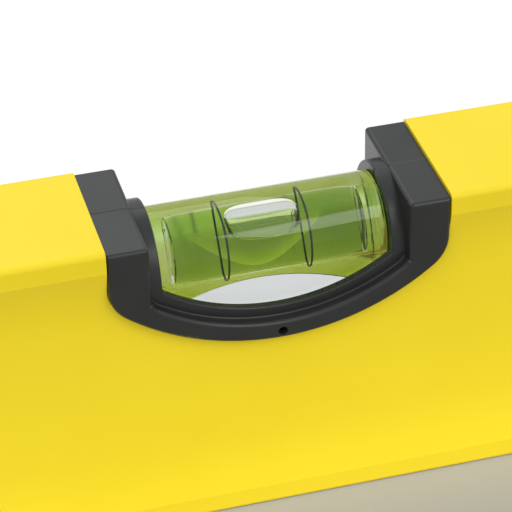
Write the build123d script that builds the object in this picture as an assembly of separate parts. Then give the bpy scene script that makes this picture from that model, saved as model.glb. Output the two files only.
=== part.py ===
from build123d import *
import os

# Box-section spirit level. Millimetres, +Z up, X along the level, front face towards -Y.
# The origin is the centre of the measuring face that the level stands on.

# Profile: a powder-coated aluminium extrusion
LENGTH = 400.0
WIDTH = 22.0
HEIGHT = 50.0
CAP_FLANGE = 3.0
LIP_HEIGHT = 3.35
WEB_DEPTH = 1.5
COVE_HEIGHT = 10.0
WALL = 1.8
EDGE_RADIUS = 0.8
HOLLOW_RADIUS = 1.0
HALF_WIDTH = WIDTH / 2
PROFILE_HALF_LENGTH = LENGTH / 2 - CAP_FLANGE
HOLLOW_HALF_WIDTH = HALF_WIDTH - WEB_DEPTH - WALL
GAP = 0.1

# Centre housing: two half shells that meet on the level's mid-plane
BEZEL_HALF = 24.9
BEZEL_ARC = 36.1
BEZEL_BOTTOM = HEIGHT - 19.66
BEZEL_CORNER = 6.0
RECESS_HALF = 18.9
RECESS_ARC = 31.5
RECESS_BOTTOM = HEIGHT - 16.72
RECESS_CORNER = 2.6
WINDOW_HALF = 16.9
WINDOW_ARC = 28.5
WINDOW_BOTTOM = HEIGHT - 15.05
WINDOW_CORNER = 1.2
HOUSING_TOP = HEIGHT - 0.5
BEZEL_BACK = 9.35
LAP = 0.4
RING_FRONT = 9.2
RING_BACK = 8.0
COLLAR_CENTRE_Z = HEIGHT - 10.0
PORT_RADIUS = 0.7
PORT_Z = HEIGHT - 18.35
PORT_DEPTH_Y = 5.5
SHELL_ROUNDING = 0.6
RING_ROUNDING = 0.25
PARTING_CHAMFER = 0.15
PARTING_REACH = 0.2

# Centre vial: clear block in its tray, inner capsule with two rings, plug, fluid and bubble
VIAL_Z = HEIGHT - 9.25
BLOCK_RADIUS = 7.2
BLOCK_BOTTOM = HEIGHT - 16.5
TRAY_GAP = 0.1
TRAY_FLOOR = 0.4
TRAY_SETBACK = 0.6
TRAY_WALL_INSET = 0.2
TRAY_HALF_WIDTH = 7.6
POCKET_BOTTOM = BLOCK_BOTTOM - TRAY_GAP - TRAY_FLOOR
BLOCK_HALF = 16.8
BOSS_RADIUS = 5.0
BOSS_LENGTH = 2.2
SOCKET_DEPTH = 2.5
CAPSULE_RADIUS = 4.05
CAPSULE_LEFT = -14.1
CAPSULE_RIGHT = 16.6
CAPSULE_END_WALL = 0.35
BORE_RADIUS = 3.4
PLUG_LEFT = 14.3
RING_THICKNESS = 0.08
RING_BAND = 0.3
RING_OFFSET = 6.1
RING_MIDDLE = -0.1
SEAL_GAP = 0.02
BUBBLE_LENGTH = 11.2
BUBBLE_HALF_WIDTH = 3.0
BUBBLE_FLOOR = 1.2
FLUID_LEVEL = 1.1

# Plumb vials: one unit near each end, its tube upright
PLUMB_X = 145.0
PLUMB_Z = HEIGHT / 2
PLUMB_FLANGE_RADIUS = 17.5
PLUMB_BODY_RADIUS = 16.0
PLUMB_WINDOW_RADIUS = 12.5
PLUMB_STEP_RADIUS = 14.2
PLUMB_STEP_DEPTH = 1.0
PLUMB_SEAT = 9.5
PLUMB_FACE = 10.7
PLUMB_ROD_RADIUS = 5.5
PLUMB_ROD_HALF = 14.0
PLUMB_BORE_RADIUS = 2.7
PLUMB_BORE_HALF = 10.0
PLUMB_BRIDGE_WALL = 1.5
PLUMB_BRIDGE_REACH = 4.0
PLUMB_FLANGE_ROUNDING = 0.6
PLUMB_RING_OFFSET = 3.4
PLUMB_RING_BAND = 0.35
PLUMB_BUBBLE_RADIUS = 2.2
PLUMB_BUBBLE_LENGTH = 6.0
PLUMB_BUBBLE_ROUNDING = 1.76
PLUMB_CHANNEL_RADIUS = 2.4

# End caps
CAP_INSET = 0.15
CAP_TENON = 12.0
CAP_TENON_WALL = 1.6
CAP_ROUNDING = 0.6
CAP_RIB_HALF = 0.7
CAP_RIB_SETBACK = 2.0
CAP_RIB_ROOT = 0.5

# How far a long cutter reaches, how far a short one runs past its cut, and how close is the same
BIG = 60.0
PAST = 1.0
NEAR = 0.02


def along_x(sketch, low, high):
    """A sketch whose x and y are the level's Y and Z, as a solid from X = low to X = high."""
    return extrude(Plane.YZ.offset(low) * sketch, amount=high - low)


def along_y(sketch, low, high):
    """A sketch whose x and y are the level's X and Z, as a solid from Y = low to Y = high."""
    return extrude(Plane.XZ.offset(-high) * sketch, amount=high - low)


def along_z(sketch, low, high):
    """A sketch in plan, as a solid from Z = low to Z = high."""
    return extrude(Plane.XY.offset(low) * sketch, amount=high - low)


def rod_x(radius, low, high, z=VIAL_Z):
    """A round rod along X at height z."""
    return along_x(Pos(0, z) * Circle(radius), low, high)


def rod_z(radius, low, high, x):
    """A round upright rod at x."""
    return along_z(Pos(x, 0) * Circle(radius), low, high)


def block(x_range, y_range, z_range):
    """A box from its low and high corners."""
    sizes = [high - low for low, high in (x_range, y_range, z_range)]
    middle = [(high + low) / 2 for low, high in (x_range, y_range, z_range)]
    return Pos(*middle) * Box(*sizes)


def smile(half_width, arc_radius, bottom, corner_radius, top=HEIGHT + BIG):
    """An outline with upright sides, an open curve down to bottom and rounded lower corners."""
    arc_z = bottom + arc_radius
    low = bottom - PAST
    sides = Pos(0, (top + low) / 2) * Rectangle(2 * half_width, top - low)
    outline = sides & (Pos(0, arc_z) * Circle(arc_radius))
    if top > arc_z:
        outline += Pos(0, (top + arc_z) / 2) * Rectangle(2 * half_width, top - arc_z)
    corners = outline.vertices().sort_by(Axis.Y)[:2]
    return fillet(corners, corner_radius)


def bezel_outline(inset, top=HEIGHT + BIG):
    """The bezel's outline, drawn in by inset."""
    shape = (BEZEL_HALF - inset, BEZEL_ARC - inset, BEZEL_BOTTOM + inset, BEZEL_CORNER - inset)
    return smile(*shape, top)


def window_outline(growth=0.0):
    """The outline of the window in the ring, let out by growth."""
    half_width = WINDOW_HALF + growth
    return smile(half_width, WINDOW_ARC + growth, WINDOW_BOTTOM - growth, WINDOW_CORNER + growth)


def profile_section():
    """The extrusion's outside: flat lips top and bottom, each with a cove down to the flat web."""
    arc = (COVE_HEIGHT**2 + WEB_DEPTH**2) / (2 * WEB_DEPTH)
    cove_end = LIP_HEIGHT + COVE_HEIGHT
    outside = Pos(0, HEIGHT / 2) * RectangleRounded(WIDTH, HEIGHT, EDGE_RADIUS)
    for side in (-1, 1):
        web = side * (HALF_WIDTH - WEB_DEPTH)
        outside -= Pos(web + side * WIDTH / 2, HEIGHT / 2) * Rectangle(WIDTH, HEIGHT - 2 * cove_end)
        for z in (cove_end, HEIGHT - cove_end):
            outside -= Pos(web + side * arc, z) * Circle(arc)
    return outside


def hollow_section(clearance=0.0):
    """The extrusion's inside."""
    width = 2 * (HOLLOW_HALF_WIDTH - clearance)
    height = HEIGHT - 2 * (WALL + clearance)
    return Pos(0, HEIGHT / 2) * RectangleRounded(width, height, HOLLOW_RADIUS)


def make_profile():
    """The yellow beam with its notch for the centre housing and its two round plumb holes."""
    ends = PROFILE_HALF_LENGTH
    beam = along_x(profile_section() - hollow_section(), -ends, ends)
    seat = BEZEL_BACK - GAP / 2
    full = bezel_outline(-GAP)
    inner = bezel_outline(LAP - GAP)
    lip_low = HEIGHT - LIP_HEIGHT - GAP
    beam -= along_y(full, -BIG, -seat)
    beam -= along_y(full, seat, BIG)
    beam -= along_y(inner, -BIG, BIG)
    notch_half = BEZEL_HALF + GAP
    beam -= block((-notch_half, notch_half), (-BIG, BIG), (lip_low, HEIGHT + PAST))
    for x in (-PLUMB_X, PLUMB_X):
        beam -= along_y(Pos(x, PLUMB_Z) * Circle(PLUMB_BODY_RADIUS + GAP), -BIG, BIG)
        for low, high in ((-BIG, -PLUMB_SEAT), (PLUMB_SEAT, BIG)):
            beam -= along_y(Pos(x, PLUMB_Z) * Circle(PLUMB_FLANGE_RADIUS + GAP), low, high)
    return beam


def make_end_cap(side):
    """A moulded cap: a flange over the beam's end and a hollow tenon inside it."""
    start = PROFILE_HALF_LENGTH
    flange = along_x(offset(profile_section(), -CAP_INSET), start, start + CAP_FLANGE)
    flange = fillet(flange.faces().sort_by(Axis.X)[-1].edges(), CAP_ROUNDING)
    tenon = along_x(hollow_section(GAP), start - CAP_TENON, start)
    core = hollow_section(GAP + CAP_TENON_WALL)
    tenon -= along_x(core, start - CAP_TENON - PAST, start - CAP_TENON_WALL)
    cap = flange + tenon
    for z in (HEIGHT / 3, HEIGHT * 2 / 3):
        rib_half = HOLLOW_HALF_WIDTH - CAP_TENON_WALL
        x_range = (start - CAP_TENON + CAP_RIB_SETBACK, start - CAP_TENON_WALL + CAP_RIB_ROOT)
        cap += block(x_range, (-rib_half, rib_half), (z - CAP_RIB_HALF, z + CAP_RIB_HALF))
    return cap if side > 0 else mirror(cap, Plane.YZ)


def is_near(value, target):
    """True within a small part of a millimetre."""
    return abs(value - target) < NEAR


def round_shell_front(shell):
    """Rounds the bezel's front edges and the inner top edges of the two posts."""
    rounded = list(shell.edges().filter_by_position(Axis.Y, -HALF_WIDTH - NEAR, -HALF_WIDTH + NEAR))
    for edge in shell.edges():
        middle = edge.center()
        if is_near(abs(middle.X), RECESS_HALF) and is_near(middle.Z, HOUSING_TOP):
            rounded.append(edge)
    return fillet(rounded, SHELL_ROUNDING)


def round_ring(shell):
    """Rounds the window's edge in one run: down one collar, along the ring and up the other."""
    rounded = []
    for edge in shell.edges():
        middle = edge.center()
        is_arc = edge.geom_type == GeomType.CIRCLE
        on_ring = is_arc and is_near(middle.Y, -RING_FRONT)
        if on_ring and (is_near(edge.radius, WINDOW_ARC) or is_near(edge.radius, WINDOW_CORNER)):
            rounded.append(edge)
        elif is_arc and is_near(edge.radius, RING_FRONT) and is_near(abs(middle.X), WINDOW_HALF):
            rounded.append(edge)
        elif edge.geom_type == GeomType.BSPLINE and abs(middle.X) < WINDOW_HALF:
            rounded.append(edge)
    return fillet(rounded, RING_ROUNDING)


def bevel_parting_line(shell):
    """A fine bevel along the top of the face where the two half shells meet."""
    crown = COLLAR_CENTRE_Z + RING_FRONT - PARTING_REACH
    edges = [edge for edge in shell.edges() if is_near(edge.center().Y, 0) and edge.center().Z > crown]
    return chamfer(edges, PARTING_CHAMFER)


def make_front_shell():
    """The front half of the centre housing, without its filling port."""
    shell = along_y(bezel_outline(0, HOUSING_TOP), -HALF_WIDTH, -BEZEL_BACK)
    shell += along_y(bezel_outline(LAP, HOUSING_TOP), -BEZEL_BACK, 0)
    lip_low = HEIGHT - LIP_HEIGHT
    shell += block((-BEZEL_HALF, BEZEL_HALF), (-HALF_WIDTH, 0), (lip_low, HOUSING_TOP))
    # Recess inside the bezel, then the ring's window, then the pocket that holds the block
    recess = along_y(smile(RECESS_HALF, RECESS_ARC, RECESS_BOTTOM, RECESS_CORNER), -BIG, -RING_FRONT)
    shell -= fillet(recess.edges().group_by(Axis.Y)[-1], RING_ROUNDING)
    shell -= along_y(window_outline(), -RING_FRONT - PAST, -RING_BACK + PAST)
    pocket_half = BLOCK_HALF + GAP
    shell -= block((-pocket_half, pocket_half), (-RING_BACK, PAST), (POCKET_BOTTOM, HEIGHT + PAST))
    # Above the collars the housing is open between its two posts
    above = Pos(0, COLLAR_CENTRE_Z + BIG / 2) * Rectangle(2 * BIG, BIG)
    above -= Pos(0, COLLAR_CENTRE_Z) * Circle(RING_FRONT)
    shell -= along_x(above, -RECESS_HALF, RECESS_HALF)
    for side in (-1, 1):
        ends = sorted((side * (WINDOW_HALF - PAST), side * (BLOCK_HALF + SOCKET_DEPTH)))
        shell -= rod_x(BOSS_RADIUS + GAP, *ends)
    return bevel_parting_line(round_ring(round_shell_front(shell)))


def make_port():
    """The port that glue is injected through to bed the tray: in from the front, then up."""
    level = Pos(0, PORT_Z) * Circle(PORT_RADIUS)
    upright = Pos(0, -PORT_DEPTH_Y) * Circle(PORT_RADIUS)
    return along_y(level, -BIG, -PORT_DEPTH_Y) + along_z(upright, PORT_Z, POCKET_BOTTOM + PAST)


def make_block():
    """The clear block: round on top, flat at the front, back and bottom, a boss at each end."""
    square = Pos(0, (VIAL_Z + BLOCK_BOTTOM) / 2) * Rectangle(2 * BLOCK_RADIUS, VIAL_Z - BLOCK_BOTTOM)
    section = square + Pos(0, VIAL_Z) * Circle(BLOCK_RADIUS)
    body = along_x(section, -BLOCK_HALF, BLOCK_HALF)
    body += rod_x(BOSS_RADIUS, -BLOCK_HALF - BOSS_LENGTH, BLOCK_HALF + BOSS_LENGTH)
    bore_radius = CAPSULE_RADIUS + RING_THICKNESS + SEAL_GAP
    return body - rod_x(bore_radius, CAPSULE_LEFT - SEAL_GAP, BLOCK_HALF + BOSS_LENGTH + PAST)


def make_capsule():
    """The inner tube that holds the fluid, closed at its left end."""
    tube = rod_x(CAPSULE_RADIUS, CAPSULE_LEFT, CAPSULE_RIGHT)
    return tube - rod_x(BORE_RADIUS, CAPSULE_LEFT + CAPSULE_END_WALL, CAPSULE_RIGHT + PAST)


def make_centre_rings():
    """The two reading rings around the capsule."""
    rings = []
    for x in (RING_MIDDLE - RING_OFFSET, RING_MIDDLE + RING_OFFSET):
        ends = (x - RING_BAND / 2, x + RING_BAND / 2)
        rings.append(rod_x(CAPSULE_RADIUS + RING_THICKNESS, *ends) - rod_x(CAPSULE_RADIUS, *ends))
    return Compound(rings)


def make_centre_fluid():
    """The fluid, left open above its level for the whole of the bubble's path."""
    ends = (CAPSULE_LEFT + CAPSULE_END_WALL + SEAL_GAP, PLUG_LEFT - SEAL_GAP)
    above = block((-BIG, BIG), (-BIG, BIG), (VIAL_Z + FLUID_LEVEL, VIAL_Z + BIG))
    return rod_x(BORE_RADIUS - SEAL_GAP, *ends) - above


def make_centre_bubble():
    """The bubble: round-ended in plan, under the bore's crown."""
    plan = SlotOverall(BUBBLE_LENGTH, 2 * BUBBLE_HALF_WIDTH)
    slab = along_z(plan, VIAL_Z + BUBBLE_FLOOR, VIAL_Z + BORE_RADIUS)
    return slab & rod_x(BORE_RADIUS - 2 * GAP, -BUBBLE_LENGTH, BUBBLE_LENGTH)


def make_tray():
    """The bright tray that the block sits in: a floor below it and a low wall behind each ring."""
    half = BLOCK_HALF + GAP / 2
    blank = Pos(0, (POCKET_BOTTOM + VIAL_Z) / 2) * Rectangle(2 * half, VIAL_Z - POCKET_BOTTOM)
    wall = (blank - window_outline(TRAY_SETBACK)) & bezel_outline(LAP + TRAY_WALL_INSET)
    front = along_y(wall, -RING_BACK, -BLOCK_RADIUS - TRAY_GAP)
    y_range = (-TRAY_HALF_WIDTH, TRAY_HALF_WIDTH)
    floor = block((-half, half), y_range, (POCKET_BOTTOM, POCKET_BOTTOM + TRAY_FLOOR))
    return front + floor + mirror(front, Plane.XZ)


def make_plumb_shell(x):
    """The front half of a plumb vial's round housing."""
    centre = Pos(x, PLUMB_Z)
    shell = along_y(centre * Circle(PLUMB_FLANGE_RADIUS), -PLUMB_FACE, -PLUMB_SEAT - GAP / 2)
    shell = fillet(shell.edges().group_by(Axis.Y)[0], PLUMB_FLANGE_ROUNDING)
    shell += along_y(centre * Circle(PLUMB_BODY_RADIUS), -PLUMB_SEAT - GAP / 2, 0)
    step_floor = -PLUMB_FACE + PLUMB_STEP_DEPTH
    shell -= along_y(centre * Circle(PLUMB_STEP_RADIUS), -BIG, step_floor)
    shell -= along_y(centre * Circle(PLUMB_WINDOW_RADIUS), -BIG, PAST)
    width_half = PLUMB_ROD_RADIUS + PLUMB_BRIDGE_WALL
    bridge = along_y(centre * Circle(PLUMB_WINDOW_RADIUS + PAST), -width_half, 0)
    bridge_half = PLUMB_ROD_HALF - PLUMB_BRIDGE_REACH
    keep_x = (x - width_half, x + width_half)
    low_keep = block(keep_x, (-BIG, 0), (PLUMB_Z - BIG, PLUMB_Z - bridge_half))
    high_keep = block(keep_x, (-BIG, 0), (PLUMB_Z + bridge_half, PLUMB_Z + BIG))
    shell += bridge & low_keep
    shell += bridge & high_keep
    rod_half = PLUMB_ROD_HALF + GAP
    return shell - rod_z(PLUMB_ROD_RADIUS + GAP, PLUMB_Z - rod_half, PLUMB_Z + rod_half, x)


def make_plumb_unit(name, x):
    """Every piece of one plumb unit, by node name."""
    z = PLUMB_Z
    front = make_plumb_shell(x)
    rod = rod_z(PLUMB_ROD_RADIUS, z - PLUMB_ROD_HALF, z + PLUMB_ROD_HALF, x)
    rod -= rod_z(PLUMB_BORE_RADIUS, z - PLUMB_ROD_HALF - PAST, z + PLUMB_BORE_HALF, x)
    plug = rod_z(PLUMB_BORE_RADIUS - SEAL_GAP, z - PLUMB_ROD_HALF, z - PLUMB_BORE_HALF, x)
    fluid_ends = (z - PLUMB_BORE_HALF + SEAL_GAP, z + PLUMB_BORE_HALF - SEAL_GAP)
    fluid = rod_z(PLUMB_BORE_RADIUS - SEAL_GAP, *fluid_ends, x)
    fluid -= rod_z(PLUMB_CHANNEL_RADIUS, z - BIG / 2, z + BIG / 2, x)
    bubble_top = z + PLUMB_BORE_HALF - GAP
    bubble = rod_z(PLUMB_BUBBLE_RADIUS, bubble_top - PLUMB_BUBBLE_LENGTH, bubble_top, x)
    bubble = fillet(bubble.edges().filter_by(GeomType.CIRCLE), PLUMB_BUBBLE_ROUNDING)
    rings = []
    for ring_z in (z - PLUMB_RING_OFFSET, z + PLUMB_RING_OFFSET):
        ends = (ring_z - PLUMB_RING_BAND / 2, ring_z + PLUMB_RING_BAND / 2)
        outer = rod_z(PLUMB_ROD_RADIUS + RING_THICKNESS, *ends, x)
        rings.append(outer - rod_z(PLUMB_ROD_RADIUS, *ends, x))
    return {
        f"{name}_plumb_shell_front": front,
        f"{name}_plumb_shell_rear": mirror(front, Plane.XZ),
        f"{name}_plumb_vial": rod,
        f"{name}_plumb_plug": plug,
        f"{name}_plumb_fluid": fluid,
        f"{name}_plumb_bubble": bubble,
        f"{name}_plumb_rings": Compound(rings),
    }


def make_nodes():
    """Every sub-part of the level, by node name."""
    front_shell = make_front_shell()
    nodes = {
        "profile_body": make_profile(),
        "end_cap_left": make_end_cap(-1),
        "end_cap_right": make_end_cap(1),
        "centre_housing_front": front_shell - make_port(),
        "centre_housing_rear": mirror(front_shell, Plane.XZ),
        "centre_vial_block": make_block(),
        "centre_vial_capsule": make_capsule(),
        "centre_vial_plug": rod_x(BORE_RADIUS - SEAL_GAP, PLUG_LEFT, CAPSULE_RIGHT),
        "centre_vial_fluid": make_centre_fluid(),
        "centre_vial_bubble": make_centre_bubble(),
        "centre_vial_rings": make_centre_rings(),
        "centre_vial_tray": make_tray(),
    }
    nodes |= make_plumb_unit("left", -PLUMB_X)
    nodes |= make_plumb_unit("right", PLUMB_X)
    return nodes


os.makedirs("parts", exist_ok=True)
for node_name, solid in make_nodes().items():
    export_step(solid, f"parts/{node_name}.step")
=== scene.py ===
import math

import bmesh
import bpy
import numpy as np
from mathutils import Matrix, Vector


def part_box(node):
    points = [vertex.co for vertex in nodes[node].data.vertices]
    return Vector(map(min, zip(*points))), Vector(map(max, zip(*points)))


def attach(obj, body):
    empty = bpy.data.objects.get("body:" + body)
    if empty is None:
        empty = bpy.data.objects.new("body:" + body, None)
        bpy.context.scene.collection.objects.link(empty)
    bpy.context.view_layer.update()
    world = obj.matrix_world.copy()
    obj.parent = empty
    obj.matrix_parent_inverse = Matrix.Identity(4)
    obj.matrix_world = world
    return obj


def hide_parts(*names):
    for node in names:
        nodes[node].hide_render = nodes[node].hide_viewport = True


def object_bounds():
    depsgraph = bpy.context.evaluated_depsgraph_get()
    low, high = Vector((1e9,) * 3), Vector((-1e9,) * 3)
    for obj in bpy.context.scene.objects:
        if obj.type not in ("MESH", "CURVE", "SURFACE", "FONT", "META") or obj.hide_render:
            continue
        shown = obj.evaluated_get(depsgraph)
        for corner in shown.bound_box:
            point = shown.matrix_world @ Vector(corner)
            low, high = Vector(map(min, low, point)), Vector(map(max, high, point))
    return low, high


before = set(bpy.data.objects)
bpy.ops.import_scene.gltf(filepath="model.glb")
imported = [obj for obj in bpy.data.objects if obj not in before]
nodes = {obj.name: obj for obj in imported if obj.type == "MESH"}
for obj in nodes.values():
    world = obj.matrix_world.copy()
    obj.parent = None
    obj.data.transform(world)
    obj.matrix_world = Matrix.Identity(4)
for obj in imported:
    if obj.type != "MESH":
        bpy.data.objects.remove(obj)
cad_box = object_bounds()

MM = 0.001

# ------------------------------------------------------------ measures read from the frame

HEIGHT = cad_box[1][2]
block_low, block_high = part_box("centre_vial_block")
capsule_low, capsule_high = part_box("centre_vial_capsule")
plug_low, plug_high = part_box("centre_vial_plug")
rings_low, rings_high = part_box("centre_vial_rings")
bubble_low, bubble_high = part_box("centre_vial_bubble")

VIAL_Z = (capsule_low.z + capsule_high.z) / 2
BLOCK_RADIUS = (block_high.y - block_low.y) / 2
CAPSULE_RADIUS = (capsule_high.z - capsule_low.z) / 2
BORE_RADIUS = (plug_high.z - plug_low.z) / 2

# ------------------------------------------------------------ measures that the frame doesn't give

# Clearance between clear surfaces that would meet, since glass can't be rendered with coincident faces
SKIN = 0.05 * MM

# The block's half length, without the bosses at its ends
BLOCK_HALF = 16.8 * MM
BLOCK_EDGE = 0.25 * MM

CAPSULE_END_WALL = 0.35 * MM
FLUID_CORNER = 0.3 * MM
# How far the fluid's bore swells in radius at its middle
BARREL = 0.2 * MM

BUBBLE_END_GAP = 0.1 * MM
BUBBLE_SHIFT = -0.15 * MM
BUBBLE_HALF_WIDTH = 3.1 * MM
BUBBLE_FLOOR = 1.5 * MM
BUBBLE_MIDDLE = 2.5 * MM
# How far the bubble's crown stays below the swelled bore, and how far it droops at the bubble's ends
BUBBLE_CROWN_GAP = 0.09 * MM
BUBBLE_DROOP = 0.15 * MM
BUBBLE_BLEND = 0.2 * MM
# A power of 2 would make the bubble's plan an ellipse; a little more makes it squarer
BUBBLE_POWER = 2.3

RING_BAND = 0.3 * MM
RING_GAP = 0.08 * MM
RING_THICKNESS = 0.08 * MM

RIM_DEPTH = 0.09 * MM
RIM_ROOT_GAP = 0.01 * MM
RIM_LEFT_OFFSET = 0.25 * MM
RIM_RIGHT_OFFSET = -0.02 * MM

PLUG_END_GAP = 0.1 * MM
PLUG_CORNER = 0.15 * MM

PLUMB_ROD_CORNER = 0.5 * MM
PLUMB_COLUMN_CORNER = 0.4 * MM
PLUMB_STOPPER_CORNER = 0.2 * MM
PLUMB_RING_BAND = 0.35 * MM
PLUMB_RING_ROOT = 0.03 * MM
# The share of a plumb bubble's radius that rounds its ends
PLUMB_BEAD_ROUNDING = 0.8

# ------------------------------------------------------------ materials

ACRYLIC_IOR = 1.49
FLUID_IOR = 1.475
PLUG_IOR = 1.52

# The thin layer at the block's back face that is hazy, and how rough it is
HAZE_DEPTH = 0.04 * MM
HAZE_RAMP = 0.01 * MM
HAZE_ROUGHNESS = 0.14


def new_material(name):
    """A node material with nothing but a shader; returns it with its tree and shader."""
    material = bpy.data.materials.new(name)
    material.use_nodes = True
    tree = material.node_tree
    tree.nodes.clear()
    out = tree.nodes.new("ShaderNodeOutputMaterial")
    shader = tree.nodes.new("ShaderNodeBsdfPrincipled")
    tree.links.new(shader.outputs["BSDF"], out.inputs["Surface"])
    return material, tree, shader


def object_noise(tree, scale, detail, roughness=0.5):
    """A noise factor on the piece's own coordinates. scale is in waves per metre."""
    place = tree.nodes.new("ShaderNodeTexCoord")
    noise = tree.nodes.new("ShaderNodeTexNoise")
    noise.inputs["Scale"].default_value = scale
    noise.inputs["Detail"].default_value = detail
    noise.inputs["Roughness"].default_value = roughness
    tree.links.new(place.outputs["Object"], noise.inputs["Vector"])
    return noise.outputs["Fac"]


def object_y(tree):
    """The piece's own Y coordinate, in metres."""
    place = tree.nodes.new("ShaderNodeTexCoord")
    parts = tree.nodes.new("ShaderNodeSeparateXYZ")
    tree.links.new(place.outputs["Object"], parts.inputs["Vector"])
    return parts.outputs["Y"]


def remap(tree, socket, low, high, from_low=0.35, from_high=0.65):
    """A socket's range from_low to from_high as low to high, held level beyond it."""
    node = tree.nodes.new("ShaderNodeMapRange")
    node.inputs["From Min"].default_value = from_low
    node.inputs["From Max"].default_value = from_high
    node.inputs["To Min"].default_value = low
    node.inputs["To Max"].default_value = high
    tree.links.new(socket, node.inputs["Value"])
    return node.outputs["Result"]


def two_colours(tree, factor, first, second):
    """A mix of two colours by a factor socket."""
    mix = tree.nodes.new("ShaderNodeMix")
    mix.data_type = "RGBA"
    mix.inputs[6].default_value = (*first, 1)
    mix.inputs[7].default_value = (*second, 1)
    tree.links.new(factor, mix.inputs[0])
    return mix.outputs[2]


def bump(tree, height, strength, distance):
    """A bump normal from a height socket."""
    node = tree.nodes.new("ShaderNodeBump")
    node.inputs["Strength"].default_value = strength
    node.inputs["Distance"].default_value = distance
    tree.links.new(height, node.inputs["Height"])
    return node.outputs["Normal"]


def powder_coat():
    """Yellow powder coat: even, satin, with a fine orange peel."""
    material, tree, shader = new_material("yellow_powder_coat")
    peel = object_noise(tree, scale=900.0, detail=3.0)
    cloud = remap(tree, object_noise(tree, scale=45.0, detail=3.0), 0.0, 1.0)
    colour = two_colours(tree, cloud, (0.845, 0.640, 0.014), (0.868, 0.662, 0.017))
    tree.links.new(colour, shader.inputs["Base Color"])
    tree.links.new(remap(tree, peel, 0.36, 0.44), shader.inputs["Roughness"])
    tree.links.new(bump(tree, peel, strength=0.06, distance=0.08 * MM), shader.inputs["Normal"])
    shader.inputs["Specular IOR Level"].default_value = 0.3
    return material


def moulded_plastic(name, dark, light, grain_scale, grain_strength, rough_low, rough_high):
    """Moulded plastic with a fine spark-eroded grain, clouded between two near shades."""
    material, tree, shader = new_material(name)
    grain = object_noise(tree, grain_scale, detail=5.0, roughness=0.65)
    cloud = remap(tree, object_noise(tree, scale=120.0, detail=2.0), 0.0, 1.0)
    tree.links.new(two_colours(tree, cloud, dark, light), shader.inputs["Base Color"])
    tree.links.new(remap(tree, grain, rough_low, rough_high), shader.inputs["Roughness"])
    tree.links.new(bump(tree, grain, grain_strength, distance=0.04 * MM), shader.inputs["Normal"])
    return material


def glass(name, ior, tint=None, density=0.0):
    """Clear matter; ior is its index over that of what surrounds it. A tint deepens with thickness."""
    material, tree, shader = new_material(name)
    shader.inputs["Base Color"].default_value = (1, 1, 1, 1)
    shader.inputs["Transmission Weight"].default_value = 1.0
    shader.inputs["IOR"].default_value = ior
    shader.inputs["Roughness"].default_value = 0.0
    if tint is not None:
        volume = tree.nodes.new("ShaderNodeVolumeAbsorption")
        volume.inputs["Color"].default_value = (*tint, 1)
        volume.inputs["Density"].default_value = density
        tree.links.new(volume.outputs["Volume"], tree.nodes["Material Output"].inputs["Volume"])
    return material


def add_back_haze(material):
    """Haze on the block's back face, which is taken to be left as moulded: a guess."""
    tree = material.node_tree
    start = BLOCK_RADIUS - HAZE_DEPTH
    haze = remap(tree, object_y(tree), 0.0, HAZE_ROUGHNESS, start, start + HAZE_RAMP)
    tree.links.new(haze, tree.nodes["Principled BSDF"].inputs["Roughness"])


def add_painted_glow(material, colour, strength):
    """A painted glow: a faint light of the material's own, though it is no lamp."""
    shader = material.node_tree.nodes["Principled BSDF"]
    shader.inputs["Emission Color"].default_value = (*colour, 1)
    shader.inputs["Emission Strength"].default_value = strength


yellow = powder_coat()
housing_black = moulded_plastic(
    "housing_black",
    dark=(0.019, 0.019, 0.018),
    light=(0.023, 0.023, 0.022),
    grain_scale=2600.0,
    grain_strength=0.07,
    rough_low=0.28,
    rough_high=0.36,
)
cap_black = moulded_plastic(
    "cap_black",
    dark=(0.022, 0.022, 0.023),
    light=(0.030, 0.030, 0.031),
    grain_scale=1600.0,
    grain_strength=0.5,
    rough_low=0.5,
    rough_high=0.62,
)
ring_black = moulded_plastic(
    "ring_black",
    dark=(0.020, 0.022, 0.008),
    light=(0.026, 0.028, 0.011),
    grain_scale=3000.0,
    grain_strength=0.1,
    rough_low=0.4,
    rough_high=0.5,
)
tray_green = moulded_plastic(
    "tray_green",
    dark=(0.84, 0.88, 0.08),
    light=(0.88, 0.92, 0.10),
    grain_scale=300.0,
    grain_strength=0.1,
    rough_low=0.25,
    rough_high=0.35,
)
# Painted light: the tray glows a faint green though it is no lamp, giving back a little more green than
# falls on it; how much is a guess. The tray is taken to be dyed to fluoresce, giving back a little more
# green than falls on it: a guess
add_painted_glow(tray_green, (0.80, 1.0, 0.12), 0.15)

acrylic = glass("clear_acrylic", ACRYLIC_IOR, tint=(0.96, 0.99, 0.90), density=10.0)
add_back_haze(acrylic)
fluid = glass("vial_fluid", FLUID_IOR / ACRYLIC_IOR, tint=(0.65, 0.78, 0.18), density=435.0)
gas = glass("bubble_gas", 1 / FLUID_IOR)
slit_gas = glass("slit_gas", 1 / ACRYLIC_IOR)
plug_clear = glass("plug_clear", PLUG_IOR / ACRYLIC_IOR, tint=(0.80, 0.95, 0.10), density=120.0)

# ------------------------------------------------------------ mesh helpers


def mesh_object(name, body, material, smooth_degrees=35.0):
    """A piece from a bmesh, smooth except at its sharp edges."""
    bmesh.ops.recalc_face_normals(body, faces=body.faces)
    mesh = bpy.data.meshes.new(name)
    body.to_mesh(mesh)
    body.free()
    mesh.polygons.foreach_set("use_smooth", [True] * len(mesh.polygons))
    mesh.set_sharp_from_angle(angle=math.radians(smooth_degrees))
    mesh.materials.append(material)
    piece = bpy.data.objects.new(name, mesh)
    bpy.context.scene.collection.objects.link(piece)
    return piece


def add_circle(body, x, radius, segments):
    """A row of vertices round the X axis."""
    row = []
    for i in range(segments):
        a = 2 * math.pi * i / segments
        row.append(body.verts.new((x, radius * math.sin(a), radius * math.cos(a))))
    return row


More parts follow.
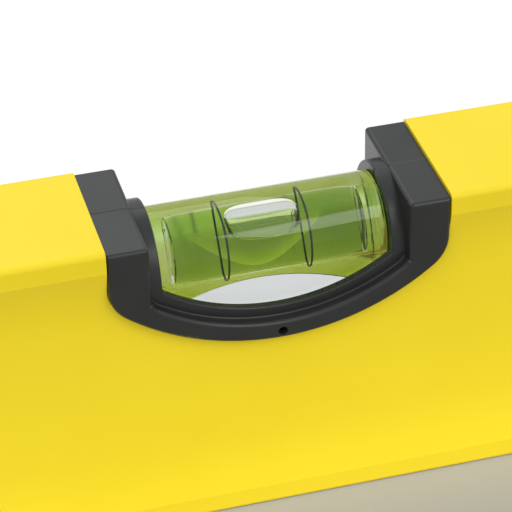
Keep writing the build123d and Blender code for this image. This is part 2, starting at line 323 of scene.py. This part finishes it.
def add_band(body, first, second):
    """Faces between two closed rows of vertices; a row of one vertex makes a fan."""
    count = max(len(first), len(second))
    for i in range(count):
        j = (i + 1) % count
        if len(first) == 1:
            body.faces.new((first[0], second[i], second[j]))
        elif len(second) == 1:
            body.faces.new((first[i], second[0], first[j]))
        else:
            body.faces.new((first[i], second[i], second[j], first[j]))


def turned(profile, segments=96):
    """A closed body turned about the X axis from (x, radius) points that start and end at radius 0."""
    body = bmesh.new()
    rows = [add_circle(body, x, radius, segments if radius > 0 else 1) for x, radius in profile]
    for first, second in zip(rows, rows[1:]):
        add_band(body, first, second)
    return body


def turned_ring(profile, segments=128):
    """A closed ring turned about the X axis from a closed loop of (x, radius) points."""
    body = bmesh.new()
    rows = [add_circle(body, x, radius, segments) for x, radius in profile]
    for first, second in zip(rows, rows[1:] + rows[:1]):
        add_band(body, first, second)
    return body


def rounded_rod_profile(low, high, radius, corner, steps=5):
    """(x, radius) points of a rod with rounded ends' edges."""
    left = []
    for i in range(steps, -1, -1):
        a = math.pi / 2 * i / steps
        left.append((low + corner * (1 - math.sin(a)), radius - corner * (1 - math.cos(a))))
    right = [(low + high - x, r) for x, r in reversed(left)]
    return [(left[0][0], 0.0)] + left + right + [(right[-1][0], 0.0)]


def barrel_profile(low, high, radius, swell, corner, steps=24):
    """(x, radius) points of a rod that swells towards its middle, with rounded ends' edges."""
    middle = (low + high) / 2
    half = (high - low) / 2 - corner
    points = rounded_rod_profile(low, high, radius, corner)
    count = len(points) // 2
    belly = []
    for i in range(1, steps):
        t = 2 * i / steps - 1
        belly.append((middle + half * t, radius + swell * (1 - t**8)))
    return points[:count] + belly + points[count:]


def ring_loop(low, high, inner, outer):
    """(x, radius) points round the section of a flat ring with softened outer corners."""
    along = 0.03 * MM
    down = 0.02 * MM
    return [
        (low, inner),
        (low, outer - down),
        (low + along, outer),
        (high - along, outer),
        (high, outer - down),
        (high, inner),
    ]


def moved(body, offset, turn=None):
    """A bmesh turned and then moved."""
    if turn is not None:
        bmesh.ops.transform(body, matrix=turn, verts=body.verts)
    bmesh.ops.translate(body, vec=offset, verts=body.verts)
    return body


def place_piece(piece, body_name, node_name):
    """Says what a piece rides on, and hides the CAD node that it stands for."""
    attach(piece, body_name)
    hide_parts(node_name)


# ------------------------------------------------------------ centre vial

VIAL_AXIS = (0, 0, VIAL_Z)


def block_section(inset, segments=64):
    """(y, z) points round the block: a half-round crown on a square base, drawn in by inset."""
    radius = BLOCK_RADIUS - inset
    crown = []
    for i in range(segments + 1):
        a = math.pi * i / segments
        crown.append((-radius * math.cos(a), VIAL_Z + radius * math.sin(a)))
    bottom = block_low.z + SKIN + inset
    return crown + [(radius, bottom), (-radius, bottom)]


def make_block(steps=4):
    """The block's polished outer skin, with the edges of its ends lightly rounded."""
    right = []
    for i in range(steps + 1):
        a = math.pi / 2 * i / steps
        right.append((BLOCK_HALF - BLOCK_EDGE * (1 - math.sin(a)), BLOCK_EDGE * (1 - math.cos(a))))
    left = [(-x, inset) for x, inset in reversed(right)]
    body = bmesh.new()
    rows = [[body.verts.new((x, y, z)) for y, z in block_section(inset)] for x, inset in left + right]
    for first, second in zip(rows, rows[1:]):
        add_band(body, first, second)
    body.faces.new(rows[0])
    body.faces.new(list(reversed(rows[-1])))
    return mesh_object("centre_block_skin", body, acrylic)


def make_fluid():
    """The fluid, filling the capsule from its closed end to the plug, its bore a little barrelled."""
    low = capsule_low.x + CAPSULE_END_WALL
    high = plug_low.x - SKIN / 2
    body = turned(barrel_profile(low, high, BORE_RADIUS, BARREL, FLUID_CORNER))
    return mesh_object("centre_fluid", moved(body, VIAL_AXIS), fluid)


def bubble_body(half_length, crown, rows=72, columns=144):
    """A bubble in a bore along X: its top follows a bore of radius crown, its underside is flat, its plan
    is nearly an ellipse and its edges are softened. The top droops at the ends, which keeps it inside the
    barrelled bore at both ends of its travel. Every point lies on a ray from the middle, found by
    halving."""
    v = np.linspace(0, math.pi, rows + 1)
    u = np.arange(columns) * 2 * math.pi / columns
    v, u = np.meshgrid(v, u, indexing="ij")
    rays = np.stack([
        half_length * np.cos(v),
        BUBBLE_HALF_WIDTH * np.sin(v) * np.cos(u),
        (crown - BUBBLE_FLOOR) / 2 * np.sin(v) * np.sin(u),
    ], axis=-1)

    def outside(p):
        """Above 0 outside the bubble and below 0 inside it."""
        x, y, z = p[..., 0], p[..., 1], p[..., 2] + BUBBLE_MIDDLE
        along = np.abs(x) / half_length
        across = np.abs(y) / BUBBLE_HALF_WIDTH
        bore = np.hypot(y, z) - crown + BUBBLE_DROOP * np.minimum(along, 1) ** 6
        under = BUBBLE_FLOOR - z
        reach = (along**BUBBLE_POWER + across**BUBBLE_POWER) ** (1 / BUBBLE_POWER)
        ends = (reach - 1) * BUBBLE_HALF_WIDTH
        walls = np.stack([bore, under, ends]) / BUBBLE_BLEND
        top = walls.max(axis=0)
        return BUBBLE_BLEND * (top + np.log(np.exp(walls - top).sum(axis=0)))

    low = np.zeros(rays.shape[:2])
    high = np.full(rays.shape[:2], 3.0)
    for _ in range(40):
        half = (low + high) / 2
        is_out = outside(rays * half[..., None]) > 0
        high = np.where(is_out, half, high)
        low = np.where(is_out, low, half)
    points = rays * low[..., None]
    points[..., 2] += BUBBLE_MIDDLE
    body = bmesh.new()
    first_pole = body.verts.new(points[0, 0])
    last_pole = body.verts.new(points[-1, 0])
    grid = [[body.verts.new(points[r, c]) for c in range(columns)] for r in range(1, rows)]
    for c in range(columns):
        d = (c + 1) % columns
        body.faces.new((first_pole, grid[0][c], grid[0][d]))
        body.faces.new((grid[-1][c], last_pole, grid[-1][d]))
        for r in range(rows - 2):
            body.faces.new((grid[r][c], grid[r + 1][c], grid[r + 1][d], grid[r][d]))
    return body


def make_centre_bubble():
    """The bubble under the bore's crown."""
    half_length = (bubble_high.x - bubble_low.x) / 2 - BUBBLE_END_GAP
    body = bubble_body(half_length, BORE_RADIUS + BARREL - BUBBLE_CROWN_GAP)
    return mesh_object("centre_bubble", moved(body, (BUBBLE_SHIFT, 0, VIAL_Z)), gas, 180.0)


def make_centre_rings():
    """The two black reading rings around the capsule."""
    inner = CAPSULE_RADIUS + RING_GAP
    outer = inner + RING_THICKNESS
    offset = (rings_high.x - rings_low.x) / 2 - RING_BAND / 2
    middle = (rings_high.x + rings_low.x) / 2
    pieces = []
    for name, x in (("centre_ring_left", middle - offset), ("centre_ring_right", middle + offset)):
        loop = ring_loop(x - RING_BAND / 2, x + RING_BAND / 2, inner, outer)
        pieces.append(mesh_object(name, moved(turned_ring(loop), VIAL_AXIS), ring_black))
    return pieces


def make_capsule_rims():
    """Stand-in for the capsule's ends: a fine V of air round each end of the fluid, for its pale glint."""
    root = BORE_RADIUS + RIM_ROOT_GAP
    left = capsule_low.x + RIM_LEFT_OFFSET
    right = plug_low.x + RIM_RIGHT_OFFSET
    pieces = []
    for name, x in (("capsule_rim_left", left), ("capsule_rim_right", right)):
        loop = [(x - RIM_DEPTH, root), (x, root + RIM_DEPTH), (x + RIM_DEPTH, root)]
        pieces.append(mesh_object(name, moved(turned_ring(loop), VIAL_AXIS), slit_gas))
    return pieces


def make_centre_plug():
    """The plug that closes the capsule."""
    profile = rounded_rod_profile(plug_low.x, plug_high.x - PLUG_END_GAP, BORE_RADIUS, PLUG_CORNER)
    return mesh_object("centre_plug", moved(turned(profile), VIAL_AXIS), plug_clear)


place_piece(make_block(), "level", "centre_vial_block")
place_piece(make_fluid(), "level", "centre_vial_fluid")
place_piece(make_centre_bubble(), "centre_bubble", "centre_vial_bubble")
for ring_piece in make_centre_rings():
    place_piece(ring_piece, "level", "centre_vial_rings")
for rim_piece in make_capsule_rims():
    place_piece(rim_piece, "level", "centre_vial_capsule")
place_piece(make_centre_plug(), "level", "centre_vial_plug")

# ------------------------------------------------------------ plumb vials

UPRIGHT = Matrix.Rotation(math.radians(-90), 4, "Y")


def make_plumb_vial(side):
    """One upright vial: its rod, fluid, plug and bubble, nested, and its two rings."""
    rod_low, rod_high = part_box(f"{side}_plumb_vial")
    bore_low, bore_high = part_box(f"{side}_plumb_fluid")
    bead_low, bead_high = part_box(f"{side}_plumb_bubble")
    bands_low, bands_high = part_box(f"{side}_plumb_rings")
    x = (rod_low.x + rod_high.x) / 2
    rod_radius = (rod_high.x - rod_low.x) / 2
    bore = (bore_high.x - bore_low.x) / 2
    bead_radius = (bead_high.x - bead_low.x) / 2

    def upright(name, body, material):
        return mesh_object(f"{side}_{name}", moved(body, (x, 0, 0), UPRIGHT), material)

    rod = turned(rounded_rod_profile(rod_low.z, rod_high.z, rod_radius, PLUMB_ROD_CORNER))
    place_piece(upright("rod", rod, acrylic), "level", f"{side}_plumb_vial")

    column = turned(rounded_rod_profile(bore_low.z, bore_high.z, bore, PLUMB_COLUMN_CORNER))
    place_piece(upright("column", column, fluid), "level", f"{side}_plumb_fluid")

    stopper_low = rod_low.z + 2 * SKIN
    stopper_high = bore_low.z - SKIN
    stopper = turned(rounded_rod_profile(stopper_low, stopper_high, bore, PLUMB_STOPPER_CORNER))
    place_piece(upright("stopper", stopper, plug_clear), "level", f"{side}_plumb_plug")

    rounding = PLUMB_BEAD_ROUNDING * bead_radius
    bead = turned(rounded_rod_profile(bead_low.z, bead_high.z, bead_radius, rounding, steps=12))
    bubble_name = f"{side}_plumb_bubble"
    place_piece(upright("bead", bead, gas), bubble_name, bubble_name)

    inner = rod_radius - PLUMB_RING_ROOT
    outer = rod_radius + RING_THICKNESS
    for end, low in (("low", bands_low.z), ("high", bands_high.z - PLUMB_RING_BAND)):
        band = turned_ring(ring_loop(low, low + PLUMB_RING_BAND, inner, outer))
        ring = upright(f"ring_{end}", band, ring_black)
        place_piece(ring, "level", f"{side}_plumb_rings")


make_plumb_vial("left")
make_plumb_vial("right")

# ------------------------------------------------------------ materials of the CAD nodes that stay

kept_materials = {
    "profile_body": yellow,
    "end_cap": cap_black,
    "centre_housing": housing_black,
    "centre_vial_tray": tray_green,
    "plumb_shell": housing_black,
}
for node_name, node in nodes.items():
    for part_name, kept_material in kept_materials.items():
        if part_name in node_name:
            node.data.materials.clear()
            node.data.materials.append(kept_material)

# ------------------------------------------------------------ floor, light and camera

FLOOR_HALF = 4.0
FLOOR_WHITE = 0.92
# Painted shade on the floor: the greys before and beyond the level, and where along Y the floor turns from
# each to white
SHADE_GREY_BEFORE = 0.38
SHADE_GREY_BEYOND = 0.55
TURN_BEFORE = (-0.03, 0.05)
TURN_BEYOND = (0.12, 0.60)

TOP_MIDDLE = (0, 0, HEIGHT)

CAMERA_AZIMUTH = math.radians(-14.675)
CAMERA_ELEVATION = math.radians(34.904)
CAMERA_ROLL = math.radians(-1.271)
CAMERA_DISTANCE = 0.35277
CAMERA_TARGET = Vector((-0.0009, 0, HEIGHT - 0.01247))
CAMERA_SENSOR = 36.0
CAMERA_LENS = 170.89


def make_floor():
    """A pale floor that the level stands on, with painted shade: toned down to grey in front of it and far
    behind it, which dims the light it gives back.
    """
    body = bmesh.new()
    corners = ((-1, -1), (1, -1), (1, 1), (-1, 1))
    body.faces.new([body.verts.new((FLOOR_HALF * x, FLOOR_HALF * y, 0)) for x, y in corners])
    material, tree, shader = new_material("floor_painted_shade")
    y_socket = object_y(tree)
    # The floor's greys before and beyond the level are painted shade.
    tone = tree.nodes.new("ShaderNodeMath")
    tone.operation = "MINIMUM"
    tree.links.new(remap(tree, y_socket, SHADE_GREY_BEFORE, FLOOR_WHITE, *TURN_BEFORE), tone.inputs[0])
    tree.links.new(remap(tree, y_socket, FLOOR_WHITE, SHADE_GREY_BEYOND, *TURN_BEYOND), tone.inputs[1])
    tree.links.new(tone.outputs["Value"], shader.inputs["Base Color"])
    shader.inputs["Roughness"].default_value = 0.9
    shader.inputs["Specular IOR Level"].default_value = 0.2
    mesh_object("floor", body, material)


def add_softbox(name, place, target, size, power, is_mirrored=False, is_seen_through_glass=False, only=None):
    """A soft rectangular lamp of (width, height) at place, aimed at target, for every piece or for only
    one. It shows in mirror reflections or through glass only where that is said."""
    lamp = bpy.data.lights.new(name, "AREA")
    lamp.shape = "RECTANGLE"
    lamp.size, lamp.size_y = size
    lamp.energy = power
    holder = bpy.data.objects.new(name, lamp)
    holder.location = place
    holder.rotation_euler = (Vector(target) - Vector(place)).to_track_quat("-Z", "Y").to_euler()
    holder.visible_camera = False
    holder.visible_glossy = is_mirrored
    holder.visible_transmission = is_seen_through_glass
    bpy.context.scene.collection.objects.link(holder)
    if only is not None:
        lit = bpy.data.collections.new(f"{name}_lit")
        lit.objects.link(only)
        holder.light_linking.receiver_collection = lit


def make_world(strength):
    """White surroundings, a touch cool."""
    world = bpy.data.worlds.new("studio")
    world.use_nodes = True
    background = world.node_tree.nodes["Background"]
    background.inputs["Color"].default_value = (0.94, 0.97, 1.0, 1)
    background.inputs["Strength"].default_value = strength
    bpy.context.scene.world = world


def make_camera():
    """The close view of the level's middle, from the front left and above."""
    a, e, r = CAMERA_AZIMUTH, CAMERA_ELEVATION, CAMERA_ROLL
    back = Vector((math.sin(a) * math.cos(e), -math.cos(a) * math.cos(e), math.sin(e)))
    level_right = (-back).cross(Vector((0, 0, 1))).normalized()
    level_up = level_right.cross(-back)
    right = level_right * math.cos(r) + level_up * math.sin(r)
    up = level_up * math.cos(r) - level_right * math.sin(r)
    camera = bpy.data.cameras.new("camera")
    camera.sensor_width = CAMERA_SENSOR
    camera.lens = CAMERA_LENS
    camera.clip_start = 0.01
    holder = bpy.data.objects.new("camera", camera)
    turn = Matrix((right, up, back)).transposed().to_4x4()
    holder.matrix_world = Matrix.Translation(CAMERA_TARGET + back * CAMERA_DISTANCE) @ turn
    bpy.context.scene.collection.objects.link(holder)
    bpy.context.scene.camera = holder


make_floor()
make_world(strength=0.72)
# Each lamp's name, place, target, size in metres and power in watts
add_softbox("back_key", (-0.1, 0.6, 0.65), TOP_MIDDLE, (0.6, 0.38), 0.7, is_mirrored=True)
add_softbox("backdrop", (0, 0.28, 0.3), (0, 0.12, 0), (0.8, 0.2), 0.3)
add_softbox("front_key", (0.41, -0.62, 0.72), TOP_MIDDLE, (0.6, 0.42), 2.2, is_mirrored=True)
add_softbox("vial_key", (0.42, -0.63, 0.73), TOP_MIDDLE, (0.6, 0.42), 0.28, is_seen_through_glass=True)
add_softbox("front_soft", (-0.35, -0.45, 0.8), TOP_MIDDLE, (0.5, 0.5), 2.4)
add_softbox("low_fill", (0, -0.05, 0.004), (0, 0, 0.01), (0.5, 0.01), 0.04, only=nodes["profile_body"])
make_camera()

scene = bpy.context.scene
scene.view_settings.view_transform = "Standard"
scene.cycles.max_bounces = 32
scene.cycles.transmission_bounces = 24
scene.cycles.glossy_bounces = 16
scene.cycles.transparent_max_bounces = 16
